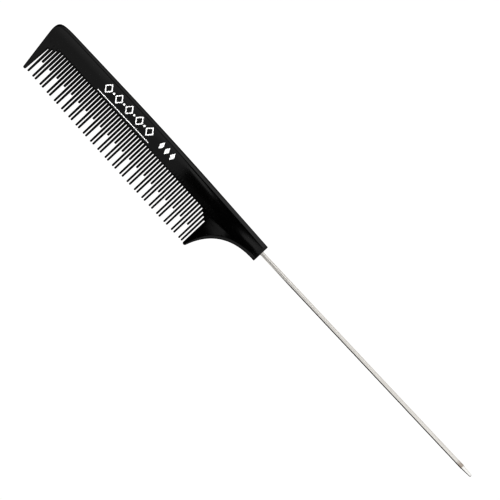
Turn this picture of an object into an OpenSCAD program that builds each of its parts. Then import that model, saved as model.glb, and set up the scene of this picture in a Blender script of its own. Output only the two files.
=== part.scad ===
// Rat tail comb: a moulded comb head with long and short teeth, and a steel tail pin.
// The comb lies flat on its panel. X runs along the comb (tail tip +X), +Y is the back,
// the teeth point to -Y and +Z is up. The origin is under the middle of its outline.
// Inside the modules x = 0 is the end of the neck and y = 0 is the axis of the tail pin.

/* [Tail pin] */
// Diameter of the steel wire
pin_d = 1.6; // [1.4:0.1:2]
// Length of the pin outside the neck
pin_exposed = 107.8; // [80:0.1:130]
// Length of the pin moulded into the comb
pin_buried = 22; // [18:1:30]
// Length of the ground point at the end of the tail
pin_point = 4.4; // [3:0.1:8]
// Diameter of the blunt nose
pin_nose_d = 1; // [0.6:0.1:1.2]
// Number of rings left between the grooves that anchor the buried end
anchor_rings = 6; // [2:1:8]

/* [Comb back] */
// Thickness of the comb
thickness = 4.2; // [3.6:0.1:5]
// Height of the back edge above the pin, along the head
back_height = 4.57; // [4:0.01:6]
// Height of the back edge above the pin, at the end of the neck
neck_height = 3.02; // [2.6:0.02:3.5]
// Depth of the neck's end below the pin
neck_depth = 3.85; // [3:0.01:4.5]
// Width of the rounded edge along the back, at the front
edge_front = 0.95; // [0.6:0.05:1.2]
// Width of the rounded edge along the back, at the neck
edge_neck = 1.45; // [1.2:0.05:1.8]

/* [Teeth] */
// Number of teeth between the two guard teeth
teeth = 64; // [45:1:70]
// Distance from one tooth to the next
pitch = 1.2775; // [1.2:0.0025:1.4]
// Width of a tooth at its root
tooth_w = 0.68; // [0.55:0.01:0.75]
// Width of a tooth at its tip
tooth_tip_w = 0.6; // [0.45:0.01:0.65]
// One tooth in this many is a short one
short_every = 3; // [2:1:4]
// Reach of the long teeth below the pin
long_reach = 17.6; // [15:0.1:20]
// Reach of the short teeth below the pin, at the front
short_front = 10.3; // [8:0.1:13]
// Reach of the short teeth below the pin, at the neck
short_neck = 12.3; // [10:0.1:14]
// Height above the roots where the comb starts to thin
wedge_start = 0.9; // [0.5:0.1:2]
// Thickness of the teeth at their tips
tip_t = 1.2; // [0.8:0.1:1.6]

/* [Guard teeth] */
// Width of the front guard at the top of the first gap
front_guard_w = 3.8; // [3:0.01:5]
// Distance from the last gap to the end of the neck
neck_length = 21.87; // [20:0.01:26]
// Reach of the two guard teeth below the pin
guard_reach = 17.98; // [15.5:0.01:21]

/* [Printed mark] */
// Thickness of the ink
ink_t = 0.04; // [0.03:0.01:0.1]
// Number of lozenges in the printed row
lozenges = 5; // [3:1:6]
// Height of a lozenge
lozenge_h = 4.3; // [3:0.1:4.6]
// Width of the printed lines
ink_line = 0.5; // [0.4:0.05:0.7]

/* [Hidden] */
$fn = 48;

// Places along the comb
rear_gap_x = -neck_length;
last_tooth_x = rear_gap_x - (pitch - tooth_w / 2);
first_tooth_x = last_tooth_x - (teeth - 1) * pitch;
front_gap_x = first_tooth_x - (pitch - tooth_w / 2);
front_x = front_gap_x - front_guard_w;

// Back edge: level along the head, a shallow curve, then a straight slope to the neck's end
bend_start = 0.694 * front_x;
bend_end = 0.246 * front_x;
bend_length = bend_end - bend_start;
bend_steps = 6;
back_slope = (back_height - neck_height) / (-bend_start - bend_length / 2);

// Line of the tooth roots, with a ramp into each guard tooth
root_front_y = -3.04;
root_slope = 0.0135;
front_ramp_teeth = 3.4;
front_ramp_drop = 2.6;
rear_ramp_teeth = 3.45;
rear_ramp_drop = 2.9;

// Rounded front corner: a cubic curve from the front edge to the back, and the steps along it
corner_y = 1;
corner_turn = 1.9;
corner_length = 9.85;
corner_steps = 10;

// Front edge, which leans back below a bend
front_bend_y = 0.3;
front_lean = 0.152;
front_root_x = front_edge_x(root_front_y);

// Round tip of the front guard, and how much shorter it is than the rear one
guard_tip_r = 0.5;
guard_tip_x = front_gap_x - 0.8;
front_guard_rise = 1.62;

// Sweep under the neck: a cubic curve from the rear guard's tip to the neck's end
sweep = [[rear_gap_x + 1.07, -guard_reach - 0.42], [rear_gap_x + 3.87, -8.3],
    [rear_gap_x / 2 + 0.13, -3.45], [0, -neck_depth]];
sweep_start = 0.038;
sweep_split = 0.52;
sweep_steps = 14;
split_x = on_sweep(sweep_split)[0];

// Neck: how far its lower bevel rises towards its end, and the end's underside thickness
neck_rise = 0.9;
neck_under_t = 1.4;

// Thickness of the comb at the roots of the teeth
root_t = 2 * wedge_half(root_front_y);

// The rounded edge in levels: share of the edge's width, and height off the middle plane
edge_low = [0.25, 0.36 * thickness];
root_share = lerp(edge_low[0], 1, (root_t / 2 - edge_low[1]) / (thickness / 2 - edge_low[1]));
edge_levels = [[0, thickness / 6], edge_low, [root_share, root_t / 2], [1, thickness / 2]];

// Tail pin: grooved core and rings of the buried end, and steps of the nose's arc
anchor_core_r = pin_d / 2 - 0.2;
anchor_ring_r = pin_d / 2;
anchor_margin = 1;
anchor_pitch = (pin_buried - 2 * anchor_margin) / anchor_rings;
anchor_ring_w = 1.2;
anchor_slope = 0.2;
nose_length = 0.35;
nose_steps = 5;

// Printed mark: a row of outlined lozenges with dots between, a rule, and three small lozenges
mark_x = front_x + 26.4;
mark_length = 26;
mark_y = 0.55;
rule_y = -2.5;
rule_w = 0.36;
dot_d = 0.9;
dot_gap = 0.3;
small_mark_x = mark_x + mark_length + 3.95;
small_mark_y = 0.3;
small_mark_step = 2.7;
small_lozenge = [1.9, 3.4];

function lerp(a, b, t) = a + (b - a) * t;
function back_y(x) = x < bend_start ? back_height
    : x < bend_end ? back_height - back_slope * pow(x - bend_start, 2) / (2 * bend_length)
    : neck_height - back_slope * x;
function edge_w(x) = lerp(edge_front, edge_neck, (x - front_x) / -front_x);
function root_y(x) = root_front_y - root_slope * (x - front_gap_x);
function tooth_x(i) = first_tooth_x + i * pitch;
function is_short(i) = i % short_every == 1;
function front_ramp(x) = front_ramp_drop * max(0, 1 - (x - front_gap_x) / (front_ramp_teeth * pitch));
function rear_ramp(x) = rear_ramp_drop * max(0, 1 - (rear_gap_x - x) / (rear_ramp_teeth * pitch));
function gap_top(x) = root_y(x) - front_ramp(x) - rear_ramp(x);
function front_edge_x(y) = front_x + front_lean * max(0, front_bend_y - y);
function cubic(p, t) = pow(1 - t, 3) * p[0] + 3 * pow(1 - t, 2) * t * p[1]
    + 3 * (1 - t) * t * t * p[2] + pow(t, 3) * p[3];
function on_sweep(t) = cubic(sweep, t);
function corner_point(t, inset) = cubic([[front_x + inset, corner_y],
    [front_x + inset, back_height - inset], [front_x + inset + corner_turn, back_height - inset],
    [front_x + corner_length, back_height - inset]], t);
function wedge_half(y) = let (top = root_front_y + wedge_start)
    lerp(thickness, tip_t, (top - y) / (top + guard_reach)) / 2;
function short_tip(x) = -lerp(short_front, short_neck, (x - first_tooth_x) / (last_tooth_x - first_tooth_x));
function long_tip(x) = -long_reach + 1.5 * pow((x - last_tooth_x) / (first_tooth_x - last_tooth_x), 2);

// Outline of the straight back, with a share of its rounded edge taken off and its root side raised
function spine_outline(share, lift) = let (
        w = share * edge_front,
        back_xs = concat([for (k = [0:bend_steps]) bend_start + k * bend_length / bend_steps], [split_x]))
    concat(
        [[split_x, root_y(split_x) + lift], [front_root_x + w, root_y(front_root_x) + lift],
            [front_x + w, front_bend_y]],
        [for (k = [0:corner_steps]) corner_point(k / corner_steps, w)],
        [for (x = back_xs) [x, back_y(x) - share * edge_w(x)]]);

// Half section of the neck at one place on the sweep, from its back to its underside
function neck_half(t) = let (p = on_sweep(t), x = p[0], u = 1 - x / split_x) concat(
    [for (level = edge_levels) [back_y(x) - level[0] * edge_w(x), level[1]]],
    [[root_y(split_x) + wedge_start + neck_rise * u, thickness / 2],
        [root_y(split_x) + neck_rise * u, lerp(root_t / 2, edge_low[1], u)],
        [p[1], lerp(wedge_half(p[1]), neck_under_t / 2, u)]]);
function neck_ring(t) = let (h = neck_half(t), n = len(h), x = on_sweep(t)[0]) concat(
    [for (k = [0:n - 1]) [x, h[k][0], thickness / 2 + h[k][1]]],
    [for (k = [n - 1:-1:0]) [x, h[k][0], thickness / 2 - h[k][1]]]);

// Moves a module's own frame to the origin under the middle of the outline
module place() {
    translate([-(front_x + pin_exposed) / 2, (guard_reach - back_height) / 2, 0])
        children();
}

// Wedge that thins the teeth and guards towards their tips
module wedge() {
    margin = 20;
    top_y = root_front_y + wedge_start;
    tip_at = guard_reach + top_y;
    end_at = tip_at + 2;
    translate([front_gap_x, top_y, thickness / 2])
        rotate(-atan(root_slope))
            translate([-margin, 0, 0])
                rotate([90, 0, 90])
                    linear_extrude(2 * margin - front_x)
                        polygon([[0, thickness / 2], [-tip_at, tip_t / 2], [-end_at, tip_t / 2],
                            [-end_at, -tip_t / 2], [-tip_at, -tip_t / 2], [0, -thickness / 2]]);
}

// One flat outline, cut to the wedge
module toothed() {
    intersection() {
        linear_extrude(thickness)
            children();
        wedge();
    }
}

// A tooth from the gap tops down to a round tip
module tooth(x, tip_y) {
    r = lerp(tooth_w, tooth_tip_w, tip_y / -long_reach) / 2;
    a = tooth_w / 2;
    polygon([[x - a, gap_top(x - a)], [x - r, tip_y + r], [x + r, tip_y + r], [x + a, gap_top(x + a)]]);
    translate([x, tip_y + r])
        circle(r);
}

// Profile of one anchor ring, as radii and places along the pin
function ring_points(at) = [
    [anchor_core_r, at], [anchor_ring_r, at + anchor_slope],
    [anchor_ring_r, at + anchor_ring_w - anchor_slope], [anchor_core_r, at + anchor_ring_w]];

// Tail pin along +X, from its buried end to its nose
module pin_shape() {
    r = pin_d / 2;
    rotate([0, 90, 0])
        rotate_extrude()
            polygon(concat(
                [[0, -pin_buried], [anchor_core_r, -pin_buried]],
                [for (i = [anchor_rings:-1:1], p = ring_points(-anchor_margin - i * anchor_pitch)) p],
                [[anchor_core_r, 0], [r, 0], [r, pin_exposed - pin_point]],
                [for (k = [0:nose_steps]) [pin_nose_d / 2 * cos(90 * k / nose_steps),
                    pin_exposed - nose_length * (1 - sin(90 * k / nose_steps))]]));
}

module lozenge(size) {
    polygon([[-size[0] / 2, 0], [0, -size[1] / 2], [size[0] / 2, 0], [0, size[1] / 2]]);
}

// Back of the head, as one convex bar with a rounded back edge and a bevel down to the roots
module spine() {
    color([0.06, 0.06, 0.06])
        place()
            difference() {
                hull()
                    for (level = edge_levels)
                        translate([0, 0, thickness / 2 - level[1]])
                            linear_extrude(2 * level[1])
                                polygon(spine_outline(level[0], level[0] == 1 ? wedge_start : 0));
                translate([0, 0, thickness / 2])
                    pin_shape();
            }
}

// Neck between the head and the tail, which holds the pin
module handle() {
    rings = [for (k = [0:sweep_steps]) neck_ring(lerp(sweep_split, 1, k / sweep_steps))];
    n = len(rings[0]);
    color([0.05, 0.05, 0.05])
        place()
            difference() {
                polyhedron(
                    points = [for (ring = rings, p = ring) p],
                    faces = concat(
                        [[for (k = [0:n - 1]) k]],
                        [[for (k = [n - 1:-1:0]) sweep_steps * n + k]],
                        [for (s = [0:sweep_steps - 1], k = [0:n - 1])
                            [s * n + k, (s + 1) * n + k, (s + 1) * n + (k + 1) % n, s * n + (k + 1) % n]]));
                translate([0, 0, thickness / 2])
                    pin_shape();
            }
}

// Wide first tooth at the front, with the ramp above the first gaps
module front_guard() {
    ramp_x = front_gap_x + front_ramp_teeth * pitch;
    tip_y = guard_tip_r + front_guard_rise - guard_reach;
    color([0.06, 0.055, 0.055])
        place()
            toothed() {
                polygon([[front_root_x, root_y(front_root_x)], [guard_tip_x - guard_tip_r, tip_y],
                    [guard_tip_x + guard_tip_r, tip_y], [front_gap_x, gap_top(front_gap_x)],
                    [ramp_x, root_y(ramp_x)]]);
                translate([guard_tip_x, tip_y])
                    circle(guard_tip_r);
            }
}

// Wide last tooth, swept up into the underside of the neck
module rear_guard() {
    ramp_x = rear_gap_x - rear_ramp_teeth * pitch;
    sweep_points = [for (k = [0:sweep_steps])
        on_sweep(lerp(sweep_start, sweep_split, k / sweep_steps))];
    tip_r = (sweep_points[0][0] - rear_gap_x) / 2;
    tip_y = tip_r - guard_reach;
    color([0.05, 0.05, 0.05])
        place()
            toothed() {
                polygon(concat(
                    [[split_x, root_y(split_x)], [ramp_x, root_y(ramp_x)],
                        [rear_gap_x, gap_top(rear_gap_x)], [rear_gap_x, tip_y]],
                    sweep_points));
                translate([rear_gap_x + tip_r, tip_y])
                    circle(tip_r);
            }
}

module long_teeth() {
    color([0.03, 0.03, 0.03])
        place()
            toothed()
                for (i = [0:teeth - 1])
                    if (!is_short(i))
                        tooth(tooth_x(i), long_tip(tooth_x(i)));
}

module short_teeth() {
    color([0.03, 0.03, 0.03])
        place()
            toothed()
                for (i = [0:teeth - 1])
                    if (is_short(i))
                        tooth(tooth_x(i), short_tip(tooth_x(i)));
}

// Steel pin, with rings on its buried end and a ground point
module tail_pin() {
    color([0.75, 0.74, 0.72])
        place()
            translate([0, 0, thickness / 2])
                pin_shape();
}

// White printed ornament on the upper panel
module printed_mark() {
    step = mark_length / lozenges;
    size = [step - dot_d - 2 * dot_gap, lozenge_h];
    color("white")
        place()
            translate([0, 0, thickness])
                linear_extrude(ink_t) {
                    for (i = [0:lozenges - 1])
                        translate([mark_x + (i + 0.5) * step, mark_y])
                            difference() {
                                lozenge(size);
                                lozenge(size - 2 * sqrt(2) * ink_line * [1, 1]);
                            }
                    for (i = [1:lozenges - 1])
                        translate([mark_x + i * step, mark_y])
                            circle(d = dot_d);
                    translate([mark_x, rule_y - rule_w / 2])
                        square([mark_length, rule_w]);
                    for (i = [0:2])
                        translate([small_mark_x + i * small_mark_step, small_mark_y])
                            lozenge(small_lozenge);
                }
}

spine();
handle();
front_guard();
rear_guard();
long_teeth();
short_teeth();
tail_pin();
printed_mark();
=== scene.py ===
"""Looks of a rat tail comb: one black moulding with its teeth, a steel tail pin and a white print.

Shapes are worked out in millimetres, with x = 0 at the neck's end face, y = 0 on the pin's axis and
z = 0 in the comb's middle plane. The teeth point to -y and the tail to +x, as in the CAD frame.
"""
import math
import bmesh
import bpy
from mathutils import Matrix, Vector


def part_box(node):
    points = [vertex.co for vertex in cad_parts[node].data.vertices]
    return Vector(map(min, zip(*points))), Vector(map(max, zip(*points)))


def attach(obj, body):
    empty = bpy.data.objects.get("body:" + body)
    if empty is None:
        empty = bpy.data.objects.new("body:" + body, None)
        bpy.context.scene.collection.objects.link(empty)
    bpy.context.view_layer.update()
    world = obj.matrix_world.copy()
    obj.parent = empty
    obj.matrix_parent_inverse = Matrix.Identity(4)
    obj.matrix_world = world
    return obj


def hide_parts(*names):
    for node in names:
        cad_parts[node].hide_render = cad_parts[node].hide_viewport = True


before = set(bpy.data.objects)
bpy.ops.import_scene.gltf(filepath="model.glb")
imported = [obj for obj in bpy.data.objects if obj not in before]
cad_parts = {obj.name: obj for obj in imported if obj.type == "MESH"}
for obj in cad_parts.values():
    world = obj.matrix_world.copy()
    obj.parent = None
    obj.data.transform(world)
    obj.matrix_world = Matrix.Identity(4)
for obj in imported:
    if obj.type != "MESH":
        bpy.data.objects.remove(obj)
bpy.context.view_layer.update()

MM = 0.001

# ---------------------------------------------------------------- sizes from the CAD frame

SPINE, NECK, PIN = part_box("spine"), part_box("handle"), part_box("tail_pin")
GUARD, LONG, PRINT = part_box("rear_guard"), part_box("long_teeth"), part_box("printed_mark")
ORIGIN = Vector((NECK[1].x, (PIN[0].y + PIN[1].y) / 2, (SPINE[0].z + SPINE[1].z) / 2))


def to_mm(corner):
    """A corner of a CAD box, in the script's millimetres."""
    return (corner - ORIGIN) / MM


# Teeth: how many, their width at the root and at the tip, and where the short and the long ones end
TEETH = 64
TOOTH_W = 0.68
TIP_W = 0.6
SHORT_EVERY = 3
SHORT_TIPS_Y = (-10.3, -12.3)
LONG_RISE = 1.5

# Half the thickness of the panel and of the tips, and the places that the CAD frame gives
HALF_T = to_mm(SPINE[1]).z
TIP_HALF_T = 0.6
FRONT_X = to_mm(SPINE[0]).x
BACK_Y = to_mm(SPINE[1]).y
GUARD_Y = to_mm(GUARD[0]).y
LONG_Y = to_mm(LONG[0]).y
SPLIT_X = to_mm(NECK[0]).x
PIN_START, PIN_END = to_mm(PIN[0]).x, to_mm(PIN[1]).x
FIRST_X = to_mm(LONG[0]).x + TOOTH_W / 2
LAST_X = to_mm(LONG[1]).x - TOOTH_W / 2
PITCH = (LAST_X - FIRST_X) / (TEETH - 1)
FRONT_GAP_X = FIRST_X - (PITCH - TOOTH_W / 2)
REAR_GAP_X = LAST_X + (PITCH - TOOTH_W / 2)

# Back edge, root line with its ramps at both ends, and the wedge that thins the teeth below it
NECK_Y = 3.02
BEND = (0.694 * FRONT_X, 0.246 * FRONT_X)
BACK_SLOPE = (BACK_Y - NECK_Y) / (-(BEND[0] + BEND[1]) / 2)
ROOT_Y = -3.04
ROOT_SLOPE = 0.0135
FRONT_RAMP = (2.6, 3.4 * PITCH)
REAR_RAMP = (2.9, 3.45 * PITCH)
WEDGE_START = 0.2
WEDGE_SOFT = 0.5
WEDGE_SLOPE = (HALF_T - TIP_HALF_T) / (ROOT_Y + WEDGE_START - GUARD_Y)

# Front edge, its corner and the front guard's tip, and the sweep under the neck
CORNER_Y = 1.0
CORNER = ((FRONT_X, CORNER_Y), (FRONT_X, BACK_Y), (FRONT_X + 1.9, BACK_Y), (FRONT_X + 9.85, BACK_Y))
FRONT_BEND_Y = 0.3
FRONT_BEND_SOFT = 1.0
FRONT_LEAN = 0.152
FRONT_TIP_R = 0.5
FRONT_TIP_RISE = 1.62
FRONT_TIP_ARC = (225.0, 315.0)
SWEEP = (
    (REAR_GAP_X + 1.07, GUARD_Y - 0.42),
    (REAR_GAP_X + 3.87, -8.3),
    (REAR_GAP_X / 2 + 0.13, -3.45),
    (0.0, -3.85),
)
SWEEP_SPLIT = 0.52
TIP_SEARCH_END = 0.3
SLOPE_STEP = 0.01

# Rounded edges: width over the face and depth off it. The front edge's rounding turns into a tooth's
# over one part in FRONT_EDGE_TURNS of the guard's inner side, and the sweep's is full between two shares.
TOOTH_EDGE = (0.13, 0.13)
FRONT_EDGE = (0.16, 0.2)
FRONT_EDGE_TURNS = 3
BACK_EDGE = (0.28, 0.4)
SWEEP_EDGE = (0.85, 0.62)
SWEEP_END_EDGE = (1.2, 0.62)
SWEEP_EDGE_TURNS = (0.4, 0.8)
GUARD_TIP_EDGE = (0.26, 0.26)
END_EDGE = 0.1

# Flat chamfer along the back, how its crease is softened, and the slight crown of the panel
LIP_WIDTH = (0.95, 1.42)
LIP_GROWTH = 74.0
LIP_TILT = 0.4
FRONT_LIP = 0.02
CREASE = 0.25
CREASE_ROWS = (-1.0, -0.5, 0.0, 0.5, 1.0, 1.4)
CROWN = 0.045

# Mesh density
LOOPS = 4
ARCH_STEPS = 6
FRONT_ARCH_STEPS = 24
TOOTH_COLUMNS = 4
TOOTH_ROWS = 10
GUARD_COLUMNS = 8
GUARD_ROWS = 18
NECK_COLUMNS = 18
FACE_RINGS = 4
INNER_ROWS = (0.1, 0.2, 0.31, 0.43, 0.55, 0.67, 0.78, 0.88, 0.95)
TIP_ROW = 0.015
BISECTIONS = 40

# How the outer outline's slices fan out: their start above the first gap, the share of the corner where
# its edge has turned into the back's, the share that the fan covers, and the length that stands for it
FAN_START = 0.7
CORNER_TURNED = 0.6
CORNER_FAN = 0.72
CORNER_LENGTH = 7.0

# Tail pin: its wire, shoulder, taper and nose, then the neck's mouth and the core and rings of its
# buried end. The shoulder's steps and the taper's start are a distance past SHOULDER_X and a drop of
# the radius.
PIN_R = 0.8
PIN_SIDES = 48
PIN_STEPS = 44
SHOULDER_X = PIN_END - 4.4
SHOULDER = ((0.06, 0.012), (0.14, 0.05))
TAPER_START = (0.22, 0.07)
TAPER_STEPS = 8
NOSE_R = 0.5
NOSE_LENGTH = 0.32
NOSE_STEPS = 6
MOUTH = (-0.3, -0.4)
CORE_R = 0.6
RING_R = 0.8
RINGS = 6
RING_W = 1.2
RING_SLOPE = 0.2
RING_MARGIN = 1.0


def lerp(a, b, t):
    """From a at t = 0 to b at t = 1, in a straight line."""
    return a + (b - a) * t


def soft_ramp(v, soft):
    """0 below -soft and v above soft, with a smooth turn between."""
    if v <= -soft:
        return 0.0
    return v if v >= soft else (v + soft) ** 2 / (4 * soft)


def smooth(t):
    """From 0 at t = 0 to 1 at t = 1, level at both ends and beyond them."""
    t = min(1.0, max(0.0, t))
    return t * t * (3 - 2 * t)


# ---------------------------------------------------------------- outline of the comb


def back_y(x):
    """The back edge: level over the head, then a bend, then a straight fall to the neck's end."""
    if x < BEND[0]:
        return BACK_Y
    if x < BEND[1]:
        return BACK_Y - BACK_SLOPE * (x - BEND[0]) ** 2 / (2 * (BEND[1] - BEND[0]))
    return NECK_Y - BACK_SLOPE * x


def root_y(x):
    """The line that the gaps between the teeth reach up to, before the ramps at its two ends."""
    return ROOT_Y - ROOT_SLOPE * (x - FRONT_GAP_X)


def gap_top(x):
    """Top of the gap at x: the root line, which ramps down to each guard tooth."""
    front = FRONT_RAMP[0] * max(0.0, 1 - (x - FRONT_GAP_X) / FRONT_RAMP[1])
    rear = REAR_RAMP[0] * max(0.0, 1 - (REAR_GAP_X - x) / REAR_RAMP[1])
    return root_y(x) - front - rear


def front_edge(y):
    """Place and outward normal of the front edge at height y."""
    slope = FRONT_LEAN * smooth((FRONT_BEND_Y + FRONT_BEND_SOFT - y) / (2 * FRONT_BEND_SOFT))
    size = math.hypot(1, slope)
    x = FRONT_X + FRONT_LEAN * soft_ramp(FRONT_BEND_Y - y, FRONT_BEND_SOFT)
    return x, -1 / size, -slope / size


def cubic(p, t):
    """Place on a cubic curve, and the normal to the right of its direction."""
    a, b, c, d = (1 - t) ** 3, 3 * (1 - t) ** 2 * t, 3 * (1 - t) * t * t, t**3
    x, y = (a * p[0][i] + b * p[1][i] + c * p[2][i] + d * p[3][i] for i in (0, 1))
    dx, dy = (
        (1 - t) ** 2 * (p[1][i] - p[0][i])
        + 2 * (1 - t) * t * (p[2][i] - p[1][i])
        + t * t * (p[3][i] - p[2][i])
        for i in (0, 1)
    )
    size = math.hypot(dx, dy)
    return x, y, dy / size, -dx / size


def sweep(t):
    """Place and outward normal of the sweep; t is 0 at the rear guard and 1 at the neck's end."""
    return cubic(SWEEP, t)


def guard_tip():
    """Centre, radius and sweep place of the arc that rounds the rear guard between its two sides."""
    low, high = 0.0, TIP_SEARCH_END
    for _ in range(BISECTIONS):
        t = (low + high) / 2
        x, y, nx, ny = sweep(t)
        r = (x - REAR_GAP_X) / (1 + nx)
        cy = y - r * ny
        if cy - r < GUARD_Y:
            low = t
        else:
            high = t
    return REAR_GAP_X + r, cy, r, t


def lip_width(x):
    """Width of the flat chamfer along the back."""
    return lerp(*LIP_WIDTH, min(1.0, (x - FRONT_X) / LIP_GROWTH))


def face_half(x, y):
    """Half thickness of the comb at a point of its face, without chamfer or rounded edges."""
    top, low = back_y(x), root_y(x)
    across = (2 * y - top - low) / (top - low)
    crown = CROWN * min(1.0, across**2)
    wedge = WEDGE_SLOPE * soft_ramp(low + WEDGE_START - y, WEDGE_SOFT)
    return HALF_T - crown - wedge


def lip_drop(d, width, depth):
    """Drop of the chamfer at a distance d in from the outline."""
    return depth * soft_ramp(width - d, CREASE) / width


# ---------------------------------------------------------------- mesh of the moulding


def join_loops(faces, a, b):
    """Quads between two closed loops of vertices."""
    for k in range(len(a)):
        after = (k + 1) % len(a)
        faces.append((a[k], a[after], b[after], b[k]))


def close_loop(faces, loop, middle):
    """Triangles between a closed loop of vertices and the vertex in its middle."""
    for k in range(len(loop)):
        faces.append((loop[k], loop[(k + 1) % len(loop)], middle))


class Moulding:
    """Vertices and quads of one closed body that is the same above and below its middle plane.

    A node is a list of vertices that starts on the upper face and ends on the lower one. Inside the
    face it has two vertices; on the outline it has a whole slice through the rounded edge.
    """

    def __init__(self):
        self.verts = []
        self.faces = []

    def vert(self, x, y, z):
        self.verts.append((x, y, z))
        return len(self.verts) - 1

    def inner(self, x, y, drop=0.0):
        h = face_half(x, y) - drop
        return [self.vert(x, y, h), self.vert(x, y, -h)]

    def rim(self, place, edge, lip=(1.0, 0.0)):
        """A slice through the rounded edge at a place (x, y, nx, ny) of the outline."""
        x, y, nx, ny = place
        upper = []
        for k in range(LOOPS, -1, -1):
            a = math.pi / 2 * k / LOOPS
            d = edge[0] * (1 - math.cos(a))
            px, py = x - nx * d, y - ny * d
            h = face_half(px, py) - lip_drop(d, *lip) - edge[1] * (1 - math.sin(a))
            upper.append((px, py, h))
        points = upper + [(x, y, 0.0)] + [(p[0], p[1], -p[2]) for p in reversed(upper)]
        return [self.vert(*p) for p in points]

    def at(self, node):
        return self.verts[node[0]]

    def strip(self, a, b, low=0, high=None):
        """Quads between two slices of the rounded edge."""
        for k in range(low, (len(a) if high is None else high) - 1):
            self.faces.append((a[k], b[k], b[k + 1], a[k + 1]))

    def walk(self, rims):
        for a, b in zip(rims, rims[1:]):
            self.strip(a, b)

    def grid(self, rows):
        """Quads on both faces between rows of nodes of equal length."""
        for upper, lower in zip(rows, rows[1:]):
            for k in range(len(upper) - 1):
                four = (upper[k], upper[k + 1], lower[k + 1], lower[k])
                self.faces.append(tuple(n[0] for n in four))
                self.faces.append(tuple(n[-1] for n in reversed(four)))

    def between(self, a, b, steps):
        """Nodes inside the face, on the line from node a to node b."""
        pa, pb = self.at(a), self.at(b)
        shares = [k / steps for k in range(1, steps)]
        return [self.inner(lerp(pa[0], pb[0], f), lerp(pa[1], pb[1], f)) for f in shares]

    def finger(self, left, right, centre, r, angles, columns, edge):
        """A tooth from two sides of rims that run down to a round tip. Returns its base row.

        The tip's arc has four more steps than the tooth has columns: its two end rims join the
        sides' lowest row, and the rims between them close the tip.
        """
        steps = columns + 4
        tip = []
        for k in range(1, steps):
            a = math.radians(lerp(angles[0], angles[1], k / steps))
            c, s = math.cos(a), math.sin(a)
            tip.append(self.rim((centre[0] + r * c, centre[1] + r * s, c, s), edge))
        rows = [[a] + self.between(a, b, columns) + [b] for a, b in zip(left, right)]
        rows.append([tip[0]] + self.between(tip[0], tip[-1], columns) + [tip[-1]])
        rows.append(tip[1:-1])
        self.grid(rows)
        self.walk(left + tip + right[::-1])
        return rows[0]


def is_short(i):
    """Every third tooth is short, from the second one on."""
    return i % SHORT_EVERY == 1


def tooth_tip_y(i):
    """Tips of the long teeth rise a little towards the front; the short ones follow a straight line."""
    t = i / (TEETH - 1)
    return lerp(*SHORT_TIPS_Y, t) if is_short(i) else LONG_Y + LONG_RISE * (1 - t) ** 2


def tooth_half_w(y):
    """Half the width of a tooth where it is y high, which narrows from the root to the long tips."""
    return lerp(TOOTH_W, TIP_W, min(1.0, (y - ROOT_Y) / (LONG_Y - ROOT_Y))) / 2


def gap(g):
    """Centre and radius of the arch at the top of gap g; gap 0 is in front of the first tooth."""
    left = FIRST_X + (g - 1) * PITCH + TOOTH_W / 2 if g > 0 else FRONT_GAP_X
    right = FIRST_X + g * PITCH - TOOTH_W / 2 if g < TEETH else REAR_GAP_X
    x, r = (left + right) / 2, (right - left) / 2
    return x, gap_top(x) - r, r


def arch(body, g, steps):
    """Rims of the round top of gap g, without its two ends."""
    x, y, r = gap(g)
    rims = []
    for k in range(1, steps):
        a = math.pi * (1 - k / steps)
        c, s = math.cos(a), math.sin(a)
        rims.append(body.rim((x + r * c, y + r * s, -c, -s), TOOTH_EDGE))
    return rims


def tooth(body, i):
    """One tooth. Returns its base row."""
    x = FIRST_X + i * PITCH
    tip_y = tooth_tip_y(i)
    r = tooth_half_w(tip_y)
    centre_y = tip_y + r
    sides = []
    for sign, spring in ((-1, gap(i)[1]), (1, gap(i + 1)[1])):
        side = []
        for k in range(TOOTH_ROWS + 1):
            y = lerp(spring, centre_y, k / TOOTH_ROWS)
            w = lerp(TOOTH_W / 2, r, k / TOOTH_ROWS)
            side.append(body.rim((x + sign * w, y, sign, 0.0), TOOTH_EDGE))
        sides.append(side)
    return body.finger(sides[0], sides[1], (x, centre_y), r, (180, 360), TOOTH_COLUMNS, TOOTH_EDGE)


def mix_edges(a, b, t):
    """A rounded edge between two others, with a smooth turn at both ends."""
    k = smooth(t)
    return lerp(a[0], b[0], k), lerp(a[1], b[1], k)


def sweep_edge(t):
    """Rounded edge along the sweep: narrow at the rear guard's tip and widest at the neck's end."""
    grown, widens = SWEEP_EDGE_TURNS
    if t > widens:
        return mix_edges(SWEEP_EDGE, SWEEP_END_EDGE, (t - widens) / (1 - widens))
    return mix_edges(GUARD_TIP_EDGE, SWEEP_EDGE, t / grown)


def rear_guard(body):
    """The wide last tooth. Returns its base row."""
    cx, cy, r, tip_t = guard_tip()
    nx, ny = sweep(tip_t)[2:]
    spring = gap(TEETH)[1]
    left, right = [], []
    for k in range(GUARD_ROWS + 1):
        f = k / GUARD_ROWS
        left.append(body.rim((REAR_GAP_X, lerp(spring, cy, f), -1.0, 0.0), TOOTH_EDGE))
        t = lerp(SWEEP_SPLIT, tip_t, f)
        right.append(body.rim(sweep(t), sweep_edge(t)))
    end = 360 + math.degrees(math.atan2(ny, nx))
    return body.finger(left, right, (cx, cy), r, (180, end), GUARD_COLUMNS, TOOTH_EDGE)


# ---- outer outline, as one path from the front guard's tip to the neck's end


def front_tip():
    """Centre and radius of the front guard's round tip."""
    y = GUARD_Y + FRONT_TIP_RISE + FRONT_TIP_R
    x, nx, ny = front_edge(y)
    return x - FRONT_TIP_R / nx, y, FRONT_TIP_R


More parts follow.
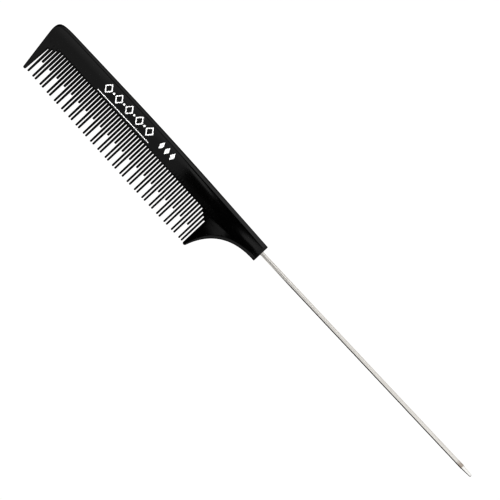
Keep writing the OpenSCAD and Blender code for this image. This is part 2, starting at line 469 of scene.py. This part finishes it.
def outer_place(kind, v):
    """A place and its share of the chamfer, from a height on the front edge, a share of the corner
    or an x on the back."""
    if kind == "front":
        x, nx, ny = front_edge(v)
        return (x, v, nx, ny), 0.0
    if kind == "corner":
        x, y, nx, ny = cubic(CORNER, v)
        return (x, y, -nx, -ny), v / CORNER_TURNED
    slope = (back_y(v + SLOPE_STEP) - back_y(v - SLOPE_STEP)) / (2 * SLOPE_STEP)
    size = math.hypot(1, slope)
    return (v, back_y(v), -slope / size, 1 / size), 1.0


def on_back(x):
    """The kind and value for outer_place at x: in front of the corner's end it lies on the corner."""
    if x >= CORNER[3][0]:
        return "back", x
    low, high = 0.0, 1.0
    for _ in range(BISECTIONS):
        t = (low + high) / 2
        if cubic(CORNER, t)[0] < x:
            low = t
        else:
            high = t
    return "corner", t


def outer_rim(body, kind, v):
    """A slice at a place of the outer outline, with the inward rows that shape the back's chamfer."""
    place, k = outer_place(kind, v)
    k = smooth(k)
    x, y, nx, ny = place
    edge = lerp(FRONT_EDGE[0], BACK_EDGE[0], k), lerp(FRONT_EDGE[1], BACK_EDGE[1], k)
    width = lerp(edge[0] + CREASE + FRONT_LIP, lip_width(x), k)
    lip = (width, lerp(FRONT_LIP, LIP_TILT * lip_width(x), k))
    rows = []
    for step in CREASE_ROWS:
        d = width + step * CREASE
        rows.append(body.inner(x - nx * d, y - ny * d, lip_drop(d, *lip)))
    return body.rim(place, edge, lip), rows


def column(body, outer, inner_node):
    """Nodes from an outer slice, down over the face, to a node of the inner side."""
    rim, rows = outer
    a, b = body.at(rows[-1]), body.at(inner_node)
    mid = [body.inner(lerp(a[0], b[0], f), lerp(a[1], b[1], f)) for f in INNER_ROWS]
    return [rim] + rows + mid + [inner_node]


def front_guard(body):
    """The front guard's round tip and inner side, as its lowest rims, outer rims and inner rims."""
    cx, cy, r = front_tip()
    _, nx, ny = front_edge(cy)
    gx, gy, gr = gap(0)
    top = (gx - gr, gy)
    start = 360 + math.degrees(math.atan2(ny, nx))
    end = 360 + math.degrees(math.atan2(cx + r - top[0], top[1] - cy))
    steps = len(INNER_ROWS) + len(CREASE_ROWS) + 1

    def on_tip(angle):
        a = math.radians(angle)
        c, s = math.cos(a), math.sin(a)
        return body.rim((cx + r * c, cy + r * s, c, s), FRONT_EDGE)

    lowest = [on_tip(lerp(*FRONT_TIP_ARC, k / steps)) for k in range(steps + 1)]
    outer = [lowest[0], on_tip((FRONT_TIP_ARC[0] + start) / 2)]
    inner = [lowest[-1], on_tip((FRONT_TIP_ARC[1] + end) / 2)]
    nx, ny = math.cos(math.radians(end)), math.sin(math.radians(end))
    for k in range(GUARD_ROWS + 1):
        f = k / GUARD_ROWS
        place = (lerp(cx + r * nx, top[0], f), lerp(cy + r * ny, top[1], f), nx, ny)
        inner.append(body.rim(place, mix_edges(FRONT_EDGE, TOOTH_EDGE, FRONT_EDGE_TURNS * f)))
    return lowest, outer, inner


def inner_chain(body, guard):
    """Nodes that the columns end on: the front guard's inner rims, the teeth's base rows and arches,
    the rear guard's base row and the rims of the sweep under the neck."""
    chain = list(guard)
    for g in range(TEETH + 1):
        rims = arch(body, g, FRONT_ARCH_STEPS if g == 0 else ARCH_STEPS)
        base = tooth(body, g) if g < TEETH else rear_guard(body)
        body.walk([chain[-1]] + rims + [base[0]])
        chain += rims + base
    end_t = 1 - END_EDGE / (3 * -SWEEP[2][0])
    neck = []
    for k in range(1, NECK_COLUMNS + 1):
        t = lerp(SWEEP_SPLIT, end_t, k / NECK_COLUMNS)
        neck.append(body.rim(sweep(t), sweep_edge(t)))
    body.walk([chain[-1]] + neck)
    body.walk(guard)
    return chain + neck


def outer_share(c, first, guard_end, last):
    """The kind and value for outer_place that belong to node c of the inner chain.

    The nodes from first to guard_end face the front edge, the next ones fan out over the corner, and
    the rest are spread along the back, with last as the neck's end.
    """
    fan_end = guard_end + FRONT_ARCH_STEPS
    neck_start = last - NECK_COLUMNS
    teeth_end = neck_start - GUARD_COLUMNS
    fan_y = gap(0)[1] + FAN_START
    if c <= guard_end:
        _, cy, r = front_tip()
        return "front", lerp(cy + r * front_edge(cy)[2], fan_y, (c - first) / (guard_end - first))
    if c <= fan_end:
        f = (c - guard_end) / FRONT_ARCH_STEPS
        straight = (CORNER_Y - fan_y) / (CORNER_Y - fan_y + CORNER_LENGTH)
        if f < straight:
            return "front", lerp(fan_y, CORNER_Y, f / straight)
        return "corner", (f - straight) / (1 - straight) * CORNER_FAN
    if c <= teeth_end:
        fan_x = cubic(CORNER, CORNER_FAN)[0]
        return on_back(lerp(fan_x, REAR_GAP_X, (c - fan_end) / (teeth_end - fan_end)))
    if c <= neck_start:
        return "back", lerp(REAR_GAP_X, SPLIT_X, (c - teeth_end) / GUARD_COLUMNS)
    return "back", lerp(SPLIT_X, -END_EDGE, (c - neck_start) / NECK_COLUMNS)


def moulding():
    """The whole comb as one closed quad mesh, with the socket that holds the pin."""
    body = Moulding()
    lowest, outer_tip, guard = front_guard(body)
    chain = inner_chain(body, guard)
    columns = [lowest]
    outer_rims = [lowest[0]]
    for c in range(1, len(chain)):
        if c < len(outer_tip):
            outer = (outer_tip[c], tip_rows(body, outer_tip[c], chain[c]))
        else:
            place = outer_share(c, len(outer_tip), len(guard) - 1, len(chain) - 1)
            outer = outer_rim(body, *place)
        outer_rims.append(outer[0])
        columns.append(column(body, outer, chain[c]))
    body.grid(columns)
    body.walk(outer_rims)
    body.walk(lowest)
    close_neck(body, columns[-1])
    return body


def tip_rows(body, rim, node):
    """Inward rows of a slice on the front guard's tip, where there is no chamfer."""
    a, b = body.at(rim), body.at(node)
    steps = [TIP_ROW * (k + 1) for k in range(len(CREASE_ROWS))]
    return [body.inner(lerp(a[0], b[0], f), lerp(a[1], b[1], f)) for f in steps]


# ---- the neck's end face and the socket


def pin_profile():
    """Places and radii along the pin's buried part, from the mouth inwards: a core with raised rings."""
    step = (-PIN_START - 2 * RING_MARGIN) / RINGS
    points = [(MOUTH[0], PIN_R), (MOUTH[1], CORE_R)]
    for i in range(1, RINGS + 1):
        at = -RING_MARGIN - i * step
        points += [(at + RING_W, CORE_R), (at + RING_W - RING_SLOPE, RING_R)]
        points += [(at + RING_SLOPE, RING_R), (at, CORE_R)]
    return points + [(PIN_START, CORE_R)]


def inward_normals(section):
    """Unit normals of a closed outline round the pin's axis, pointing at its inside."""
    normals = []
    for k in range(len(section)):
        along = (section[(k + 1) % len(section)] - section[k - 1]).normalized()
        normals.append(Vector((along.y, -along.x)))
    if normals[0].dot(section[0]) > 0:
        return [-v for v in normals]
    return normals


def neck_rings(section, x0):
    """Rings, each as its (y, z) points and its x: the rounded end, the flat face and the socket."""
    inward = inward_normals(section)
    rings = []
    for k in range(1, LOOPS + 1):
        a = math.pi / 2 * k / LOOPS
        points = [s + v * END_EDGE * (1 - math.cos(a)) for s, v in zip(section, inward)]
        rings.append((points, lerp(x0, x0 + END_EDGE, math.sin(a))))
    end = [s + v * END_EDGE for s, v in zip(section, inward)]
    mouth = [s.normalized() * PIN_R for s in end]
    for k in range(1, FACE_RINGS + 1):
        rings.append(([a.lerp(b, k / FACE_RINGS) for a, b in zip(end, mouth)], 0.0))
    for x, r in pin_profile():
        rings.append(([m * (r / PIN_R) for m in mouth], x))
    return rings


def close_neck(body, last):
    """Rounds the end of the neck, closes it with a flat face, and sinks the pin's socket into it."""
    outer, inner = last[0], last[-1]
    upper = [node[0] for node in last[1:-1]]
    lower = [node[-1] for node in reversed(last[1:-1])]
    previous = upper + inner + lower + outer[::-1]
    section = [Vector(body.verts[v][1:]) for v in previous]
    for points, x in neck_rings(section, body.verts[previous[0]][0]):
        current = [body.vert(x, p.x, p.y) for p in points]
        join_loops(body.faces, previous, current)
        previous = current
    close_loop(body.faces, previous, body.vert(PIN_START, 0.0, 0.0))


def make_object(name, verts, faces, material, angle=35.0):
    """A closed mesh object from millimetre vertices, with smooth faces split at sharp edges."""
    mesh = bpy.data.meshes.new(name)
    mesh.from_pydata([tuple(ORIGIN + Vector(v) * MM) for v in verts], [], faces)
    bm = bmesh.new()
    bm.from_mesh(mesh)
    bmesh.ops.recalc_face_normals(bm, faces=bm.faces)
    sharp = math.radians(angle)
    for e in bm.edges:
        e.smooth = len(e.link_faces) == 2 and e.calc_face_angle(0.0) < sharp
    for f in bm.faces:
        f.smooth = True
    bm.to_mesh(mesh)
    bm.free()
    mesh.materials.append(material)
    obj = bpy.data.objects.new(name, mesh)
    bpy.context.scene.collection.objects.link(obj)
    weighted = obj.modifiers.new("weighted", "WEIGHTED_NORMAL")
    weighted.keep_sharp = True
    weighted.weight = 80
    return obj


# ---------------------------------------------------------------- tail pin


def tail_pin():
    """The steel pin as a lathed mesh: buried rings, straight wire, small shoulder, taper and nose."""
    profile = list(reversed(pin_profile()))
    profile += [(lerp(0.0, SHOULDER_X, k / PIN_STEPS), PIN_R) for k in range(PIN_STEPS + 1)]
    profile += [(SHOULDER_X + past, PIN_R - drop) for past, drop in SHOULDER]
    past, drop = TAPER_START
    for k in range(TAPER_STEPS + 1):
        f = k / TAPER_STEPS
        x = lerp(SHOULDER_X + past, PIN_END - NOSE_LENGTH, f)
        profile.append((x, lerp(PIN_R - drop, NOSE_R, f)))
    for k in range(1, NOSE_STEPS):
        a = math.pi / 2 * k / NOSE_STEPS
        profile.append((PIN_END - NOSE_LENGTH * (1 - math.sin(a)), NOSE_R * math.cos(a)))
    angles = [2 * math.pi * k / PIN_SIDES for k in range(PIN_SIDES)]
    verts = [(PIN_START, 0.0, 0.0)]
    loops = []
    for x, r in profile:
        loops.append(range(len(verts), len(verts) + PIN_SIDES))
        verts += [(x, r * math.cos(a), r * math.sin(a)) for a in angles]
    verts.append((PIN_END, 0.0, 0.0))
    faces = []
    for a, b in zip(loops, loops[1:]):
        join_loops(faces, a, b)
    close_loop(faces, loops[0][::-1], 0)
    close_loop(faces, loops[-1], len(verts) - 1)
    return verts, faces


# ---------------------------------------------------------------- printed ornament

# The film's thickness, how far it sinks into the comb, its line width and the roll of its edges
INK_T = 0.03
INK_SINK = -0.01
INK_LINE = 0.5
EDGE_ROLL, HOLE_ROLL = 0.03, 0.04

# The row of lozenges with its dots, the rule below it, and the small lozenges
LOZENGES = 5
LOZENGE_H = 4.3
MARK_LENGTH = 26.0
MARK_X = to_mm(PRINT[0]).x
MARK_Y = 0.55
RULE_Y, RULE_W = -2.5, 0.36
RULE_STEPS = 60
RULE_HALF = ((0.5, INK_SINK), (0.5, INK_T / 2), (0.42, INK_T))
DOT_D, DOT_GAP = 0.9, 0.3
SMALL_GAP = 3.95
SMALL_X = MARK_X + MARK_LENGTH + SMALL_GAP
SMALL_Y = 0.3
SMALL_STEP = 2.7
SMALL_LOZENGES = 3
SMALL_LOZENGE = (1.9, 3.4)


class Ink:
    """A thin printed film that lies on the comb's upper face."""

    def __init__(self):
        self.verts = []
        self.faces = []

    def loop(self, points, lift):
        first = len(self.verts)
        for x, y in points:
            self.verts.append((x, y, face_half(x, y) + lift))
        return list(range(first, first + len(points)))

    def join(self, *loops):
        for a, b in zip(loops, loops[1:]):
            join_loops(self.faces, a, b)

    def film(self, outline, hole=None):
        """A patch between an outline and a hole, or its own middle, with softly rolled edges."""
        cx = sum(p[0] for p in outline) / len(outline)
        cy = sum(p[1] for p in outline) / len(outline)

        def toward(points, share):
            return [(lerp(p[0], cx, share), lerp(p[1], cy, share)) for p in points]

        below = self.loop(outline, INK_SINK)
        edge = self.loop(outline, INK_T / 2)
        top = self.loop(toward(outline, EDGE_ROLL), INK_T)
        self.join(below, edge, top)
        if hole:
            inner_top = self.loop(toward(hole, -HOLE_ROLL), INK_T)
            inner_edge = self.loop(hole, INK_T / 2)
            inner_below = self.loop(hole, INK_SINK)
            self.join(top, inner_top, inner_edge, inner_below, below)
            return
        for loop, lift in ((top, INK_T), (below, INK_SINK)):
            half = self.loop(toward(outline, 0.5), lift)
            self.join(loop, half)
            close_loop(self.faces, half, self.loop([(cx, cy)], lift)[0])


def lozenge(cx, cy, w, h, steps=8, rounding=0.48):
    """A lozenge with slightly rounded points."""
    corners = [(w / 2, 0), (0, h / 2), (-w / 2, 0), (0, -h / 2)]
    points = []
    for k in range(4):
        a, b = Vector(corners[k]), Vector(corners[(k + 1) % 4])
        points += [a.lerp(b, step / steps) for step in range(steps)]
    out = []
    for k, p in enumerate(points):
        if k % steps == 0:
            p = p.lerp((points[k - 1] + points[k + 1]) / 2, rounding)
        out.append((cx + p.x, cy + p.y))
    return out


def disc(cx, cy, d, sides=32):
    angles = [2 * math.pi * k / sides for k in range(sides)]
    return [(cx + d / 2 * math.cos(a), cy + d / 2 * math.sin(a)) for a in angles]


def printed_mark():
    """A row of outlined lozenges with dots between them, a rule below it, and three small lozenges."""
    ink = Ink()
    step = MARK_LENGTH / LOZENGES
    size = (step - DOT_D - 2 * DOT_GAP, LOZENGE_H)
    line = 2 * math.sqrt(2) * INK_LINE
    for i in range(LOZENGES):
        x = MARK_X + (i + 0.5) * step
        ink.film(lozenge(x, MARK_Y, *size), lozenge(x, MARK_Y, size[0] - line, size[1] - line))
    for i in range(1, LOZENGES):
        ink.film(disc(MARK_X + i * step, MARK_Y, DOT_D))
    for i in range(SMALL_LOZENGES):
        ink.film(lozenge(SMALL_X + i * SMALL_STEP, SMALL_Y, *SMALL_LOZENGE))
    add_rule(ink)
    return ink.verts, ink.faces


def add_rule(ink):
    """The thin rule, as a closed bar of quads."""
    section = [(-across, lift) for across, lift in RULE_HALF] + list(reversed(RULE_HALF))
    rows = []
    for k in range(RULE_STEPS + 1):
        x = lerp(MARK_X, MARK_X + MARK_LENGTH, k / RULE_STEPS)
        row = []
        for across, lift in section:
            y = RULE_Y + across * RULE_W
            row.append(len(ink.verts))
            ink.verts.append((x, y, face_half(x, y) + lift))
        rows.append(row)
    ink.join(*rows)
    for row in (rows[0], rows[-1]):
        ink.faces.append((row[0], row[1], row[4], row[5]))
        ink.faces.append((row[1], row[2], row[3], row[4]))


# ---------------------------------------------------------------- materials

# Linear colours, where there are two as the ends of a slight unevenness
RUBBER = ((0.0028, 0.0028, 0.0029, 1), (0.0046, 0.0045, 0.0044, 1))
WIRE = ((0.80, 0.78, 0.75, 1), (0.76, 0.74, 0.71, 1))
# Painted highlight: a lighter base colour on the pin's point past the shoulder, in place of the brighter
# reflection there
PAINTED_POINT_HIGHLIGHT = (0.88, 0.87, 0.85, 1)
# Painted shade: a dark brownish base colour at the shoulder, in place of the dark room reflected in the
# step
PAINTED_SHOULDER_SHADE = (0.39, 0.33, 0.28, 1)
INK_WHITE = ((0.96, 0.96, 0.95, 1), (0.9, 0.9, 0.9, 1))

# Where the painted shade at the pin's shoulder fades in and out, in metres from the shoulder; the fade
# out is also where the painted highlight of the point begins
BAND_IN = (-0.0032, -0.0014)
BAND_OUT = (-0.0003, 0.0)


class Shader:
    """A small helper that builds a material's node tree."""

    def __init__(self, name):
        self.material = bpy.data.materials.new(name)
        self.material.use_nodes = True
        self.tree = self.material.node_tree
        self.bsdf = self.tree.nodes["Principled BSDF"]

    def node(self, kind, inputs=None, **values):
        node = self.tree.nodes.new(kind)
        for key, value in values.items():
            setattr(node, key, value)
        for key, value in (inputs or {}).items():
            self.feed(node.inputs[key], value)
        return node

    def feed(self, socket, value):
        if hasattr(value, "is_output"):
            self.tree.links.new(value, socket)
        else:
            socket.default_value = value

    def place(self, scale):
        """Object coordinates in metres, stretched by a scale for each axis."""
        coords = self.node("ShaderNodeTexCoord").outputs["Object"]
        return self.node("ShaderNodeMapping", {"Vector": coords, "Scale": scale}).outputs["Vector"]

    def noise(self, scale, detail=4.0, roughness=0.55):
        return self.node("ShaderNodeTexNoise", {
            "Vector": self.place(scale), "Scale": 1.0, "Detail": detail, "Roughness": roughness,
        }).outputs["Fac"]

    def spread(self, value, low, high, start=0.3, end=0.7):
        """A value that runs from start to end, spread over low to high."""
        return self.node("ShaderNodeMapRange", {
            "Value": value, "From Min": start, "From Max": end, "To Min": low, "To Max": high,
        }).outputs["Result"]

    def mix(self, factor, a, b):
        mix = self.node("ShaderNodeMix", data_type="RGBA")
        self.feed(mix.inputs[0], factor)
        self.feed(mix.inputs[6], a)
        self.feed(mix.inputs[7], b)
        return mix.outputs[2]

    def math(self, operation, a, b):
        node = self.node("ShaderNodeMath", operation=operation)
        self.feed(node.inputs[0], a)
        self.feed(node.inputs[1], b)
        return node.outputs[0]

    def bump(self, height, distance, strength=1.0, normal=None):
        inputs = {"Height": height, "Distance": distance, "Strength": strength}
        if normal is not None:
            inputs["Normal"] = normal
        return self.node("ShaderNodeBump", inputs).outputs["Normal"]


def comb_material():
    """Polished black hard rubber: faint polishing lines along the comb and slightly uneven gloss."""
    s = Shader("comb_black")
    cloud = s.noise((70, 90, 90), 3.0)
    lines = s.noise((90, 5200, 5200), 3.0, 0.6)
    grain = s.noise((5000, 5000, 5000), 2.0)
    wave = s.noise((55, 120, 120), 2.0, 0.4)
    s.feed(s.bsdf.inputs["Base Color"], s.mix(s.spread(cloud, 0, 1), *RUBBER))
    rough = s.math("ADD", s.spread(lines, 0.02, 0.045), s.spread(cloud, 0.0, 0.02))
    s.feed(s.bsdf.inputs["Roughness"], rough)
    s.bsdf.inputs["IOR"].default_value = 1.52
    soft = s.bump(wave, 0.00003, 0.35)
    fine = s.bump(s.math("ADD", lines, s.math("MULTIPLY", grain, 0.5)), 0.0000003, 0.5, soft)
    s.feed(s.bsdf.inputs["Normal"], fine)
    return s.material


def steel_material():
    """Polished wire: fine lines along it, a painted dark band of shade at the shoulder that stands in for
    the dark room reflected in the step, and a painted highlight that makes the point brighter.
    """
    s = Shader("pin_steel")
    coords = s.node("ShaderNodeTexCoord").outputs["Object"]
    along = s.node("ShaderNodeSeparateXYZ", {"Vector": coords}).outputs["X"]
    lines = s.noise((30, 4000, 4000), 3.0, 0.6)
    cloud = s.noise((140, 900, 900), 3.0)
    base = s.mix(s.spread(cloud, 0, 1), *WIRE)
    shoulder = ORIGIN.x + SHOULDER_X * MM
    before = s.spread(along, 0.0, 1.0, shoulder + BAND_IN[0], shoulder + BAND_IN[1])
    after = s.spread(along, 1.0, 0.0, shoulder + BAND_OUT[0], shoulder + BAND_OUT[1])
    band = s.math("MULTIPLY", before, after)
    # Painted shade: the dark reflection in the shoulder's step is painted into the base colour here
    painted_shade = s.math("MULTIPLY", band, s.spread(cloud, 0.6, 0.95))
    # Painted highlight: past the shoulder the base colour turns lighter, for the point's brighter
    # reflection
    ground = s.mix(after, PAINTED_POINT_HIGHLIGHT, base)
    s.feed(s.bsdf.inputs["Base Color"], s.mix(painted_shade, ground, PAINTED_SHOULDER_SHADE))
    s.bsdf.inputs["Metallic"].default_value = 1.0
    s.feed(s.bsdf.inputs["Roughness"], s.spread(lines, 0.13, 0.2))
    s.feed(s.bsdf.inputs["Normal"], s.bump(lines, 0.0000007, 0.5))
    return s.material


def ink_material():
    """Opaque white screen ink, slightly uneven in cover."""
    s = Shader("white_ink")
    cover = s.noise((2600, 2600, 2600), 3.0)
    s.feed(s.bsdf.inputs["Base Color"], s.mix(s.spread(cover, 0, 1), *INK_WHITE))
    s.feed(s.bsdf.inputs["Roughness"], s.spread(cover, 0.38, 0.55))
    s.feed(s.bsdf.inputs["Normal"], s.bump(cover, 0.000001, 0.3))
    return s.material


# ---------------------------------------------------------------- camera, floor and light

# The camera's distance in metres, its aim and the width it sees in millimetres, and its roll in degrees
DISTANCE = 0.95
AIM = (-3.652, -2.222)
VIEW_MM = 176.25
ROLL = 46.8
CONTRAST_GAMMA = 0.7

# Height of the ceiling cards and half the side of the floor, in metres, and the reach of the long
# cards and the start of the upright ones, in millimetres
CEILING = 1.0
FLOOR_HALF = 3.0
WALL_Y = 1600.0
FAR_X = 1500.0
PIN_CARDS_X = 4.0

# Strength of the world's light by the height of its direction, as a sine: ROOM below the first of
# GLOW_RISE, GLOW from the second one up to the first of GLOW_FALL, and nothing above the second
ROOM = 0.005
GLOW = 0.5
GLOW_RISE = (0.1, 0.2)
GLOW_FALL = (0.42, 0.62)

# The one lamp: its power, size and place
KEY_ENERGY = 67.0
KEY_SIZE = 1.2
KEY_PLACE = (0.2, 0.3, 1.3)


def camera():
    """Straight above the comb, turned so that its tail runs to the lower right."""
    data = bpy.data.cameras.new("camera")
    data.sensor_width = 36.0
    data.lens = data.sensor_width * DISTANCE / (VIEW_MM * MM)
    obj = bpy.data.objects.new("camera", data)
    obj.location = ORIGIN + Vector((AIM[0] * MM, AIM[1] * MM, DISTANCE))
    obj.rotation_euler = (0.0, 0.0, math.radians(ROLL))
    bpy.context.scene.collection.objects.link(obj)
    bpy.context.scene.camera = obj


def glow(name, low, high=None, axis="Y", span=(0.0, 1.0)):
    """A light-emitting material; with a second strength it changes along one axis of the card."""
    material = bpy.data.materials.new(name)
    material.use_nodes = True
    tree = material.node_tree
    tree.nodes.clear()
    emission = tree.nodes.new("ShaderNodeEmission")
    emission.inputs["Strength"].default_value = low
    if high is not None:
        coords = tree.nodes.new("ShaderNodeTexCoord")
        split = tree.nodes.new("ShaderNodeSeparateXYZ")
        ramp = tree.nodes.new("ShaderNodeMapRange")
        tree.links.new(coords.outputs["Object"], split.inputs["Vector"])
        tree.links.new(split.outputs[axis], ramp.inputs["Value"])
        ramp.inputs["From Min"].default_value = span[0] * MM
        ramp.inputs["From Max"].default_value = span[1] * MM
        ramp.inputs["To Min"].default_value = low
        ramp.inputs["To Max"].default_value = high
        tree.links.new(ramp.outputs["Result"], emission.inputs["Strength"])
    output = tree.nodes.new("ShaderNodeOutputMaterial")
    tree.links.new(emission.outputs[0], output.inputs[0])
    return material


def card(name, corners, *light):
    """A lit studio card, with corners in millimetres, that only shows in reflections."""
    mesh = bpy.data.meshes.new(name)
    mesh.from_pydata([tuple(Vector(c) * MM) for c in corners], [], [tuple(range(len(corners)))])
    mesh.materials.append(glow(name, *light))
    obj = bpy.data.objects.new(name, mesh)
    obj.location = ORIGIN
    obj.visible_camera = False
    obj.visible_diffuse = False
    bpy.context.scene.collection.objects.link(obj)


def ceiling_card(name, outline, *light):
    card(name, [(x, y, CEILING / MM) for x, y in outline], *light)


def floor_card(name, outline, *light):
    card(name, [(x, y, -HALF_T) for x, y in outline], *light)


def wall_card(name, y, low, *light):
    """An upright card beside the pin, from a height up to the ceiling."""
    outline = rect(PIN_CARDS_X, low, FAR_X, CEILING / MM)
    card(name, [(x, y, z) for x, z in outline], *light)


def rect(x0, y0, x1, y1):
    return [(x0, y0), (x1, y0), (x1, y1), (x0, y1)]


def floor():
    """A plain white floor that glows, so that it reads as a clean white sweep."""
    mesh = bpy.data.meshes.new("floor")
    corners = rect(-FLOOR_HALF, -FLOOR_HALF, FLOOR_HALF, FLOOR_HALF)
    mesh.from_pydata([(x, y, 0.0) for x, y in corners], [], [(0, 1, 2, 3)])
    material = bpy.data.materials.new("floor")
    material.use_nodes = True
    bsdf = material.node_tree.nodes["Principled BSDF"]
    bsdf.inputs["Base Color"].default_value = (0.02, 0.02, 0.02, 1.0)
    bsdf.inputs["Roughness"].default_value = 0.9
    bsdf.inputs["Emission Color"].default_value = (1.0, 1.0, 1.0, 1.0)
    bsdf.inputs["Emission Strength"].default_value = 1.0
    mesh.materials.append(material)
    obj = bpy.data.objects.new("floor", mesh)
    obj.location.z = SPINE[0].z
    obj.visible_glossy = False
    bpy.context.scene.collection.objects.link(obj)


def head_cards():
    """Cards above the head: a large soft one over its front, and small ones for its highlights."""
    front = [(-300, -60), (-135, -150), (-92, -150), (-80, -110)]
    front += [(-77, -40), (-77, 110), (-84, 200), (-300, 200)]
    ceiling_card("front_soft", front, 0.74, 1.19, "Y", (2, 34))
    ceiling_card("guard_soft", [(-300, -320), (-200, -320), (-200, -116), (-300, -61)], 0.82)
    streak = [(-76.5, 22.5), (-56, 20), (-50, 17), (-49, 25.5), (-56, 28.5), (-66, 32), (-76.5, 34)]
    ceiling_card("streak", streak, 1.75)
    ceiling_card("back_soft", rect(-460, 560, 45, 1500), 1.35, 1.7, "X", (-140, -60))
    lens = [(-17, -2), (-12.6, -6), (-5, -1), (4, -7), (4, 35), (-4.4, 27), (-12.6, 21), (-17, 8)]
    ceiling_card("neck_soft", lens, 1.25)
    ceiling_card("heel_soft", rect(-32, -600, 4, -320), 1.7)
    patch = [(-41, -190), (-26, -120), (-26, -216), (-33, -216), (-41, -211)]
    ceiling_card("patch_soft", patch, 0.7, 1.0, "X", (-38, -29))
    ceiling_card("low_soft", rect(-76, -110, -42, -26), 0.12)


def pin_cards():
    """Cards round the tail pin, so that the dark room only shows as a thin line along its lower side."""
    y = WALL_Y
    soft = [(4.5, -y), (300, -y), (300, y), (45.5, y), (45.5, 559), (4.5, 559)]
    ceiling_card("pin_soft", soft, 0.92, 1.06, "X", (4, 150))
    ceiling_card("tip_soft", rect(301, -y, FAR_X, y), 1.12)
    wall_card("pin_low", -y, 370, 1.0)
    wall_card("pin_back", y, -2, 1.0)
    floor_card("pin_floor", rect(0.1, 0, 115, 60), 1.0)
    floor_card("neck_floor", rect(0.1, -60, 17, 0), 1.0, 0.0, "X", (6, 16))


def head_floor_cards():
    """Cards on the floor beside the head, which light its sides in the low views."""
    floor_card("teeth_floor", rect(-300, -200, -24, -19), 0.8)
    floor_card("back_floor", [(-300, 5.2), (-75, 5.2), (0, 3.6), (0, 200), (-300, 200)], 0.8)


def height_ramp(tree, height, span, low, high):
    """A value that changes smoothly from low to high over a span of heights."""
    ramp = tree.nodes.new("ShaderNodeMapRange")
    tree.links.new(height, ramp.inputs["Value"])
    ramp.interpolation_type = "SMOOTHSTEP"
    ramp.inputs["From Min"].default_value = span[0]
    ramp.inputs["From Max"].default_value = span[1]
    ramp.inputs["To Min"].default_value = low
    ramp.inputs["To Max"].default_value = high
    return ramp.outputs["Result"]


def studio_world():
    """A dark room with a soft glow all round, low above the horizon."""
    world = bpy.data.worlds.new("studio")
    world.use_nodes = True
    tree = world.node_tree
    coords = tree.nodes.new("ShaderNodeTexCoord")
    split = tree.nodes.new("ShaderNodeSeparateXYZ")
    tree.links.new(coords.outputs["Generated"], split.inputs["Vector"])
    height = split.outputs["Z"]
    strength = tree.nodes.new("ShaderNodeMath")
    strength.operation = "MULTIPLY"
    tree.links.new(height_ramp(tree, height, GLOW_RISE, ROOM, GLOW), strength.inputs[0])
    tree.links.new(height_ramp(tree, height, GLOW_FALL, 1.0, 0.0), strength.inputs[1])
    background = tree.nodes["Background"]
    tree.links.new(strength.outputs[0], background.inputs["Strength"])
    background.inputs["Color"].default_value = (1.0, 1.0, 1.0, 1.0)
    return world


def lights():
    """World, cards and lamp, and the contrast of the picture."""
    scene = bpy.context.scene
    scene.world = studio_world()
    head_cards()
    pin_cards()
    head_floor_cards()
    lamp = bpy.data.lights.new("key", "AREA")
    lamp.energy = KEY_ENERGY
    lamp.size = KEY_SIZE
    key = bpy.data.objects.new("key", lamp)
    key.location = KEY_PLACE
    key.visible_glossy = False
    scene.collection.objects.link(key)
    scene.view_settings.view_transform = "Standard"
    scene.view_settings.gamma = CONTRAST_GAMMA


# ---------------------------------------------------------------- the scene


def place_pieces():
    body = moulding()
    comb = make_object("comb_moulding", body.verts, body.faces, comb_material())
    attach(comb, "root")
    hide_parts("spine", "handle", "front_guard", "rear_guard", "long_teeth", "short_teeth")

    pin = make_object("steel_tail_pin", *tail_pin(), steel_material(), angle=28.0)
    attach(pin, "root")
    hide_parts("tail_pin")

    ink = make_object("white_print", *printed_mark(), ink_material())
    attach(ink, "root")
    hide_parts("printed_mark")


camera()
floor()
lights()
place_pieces()
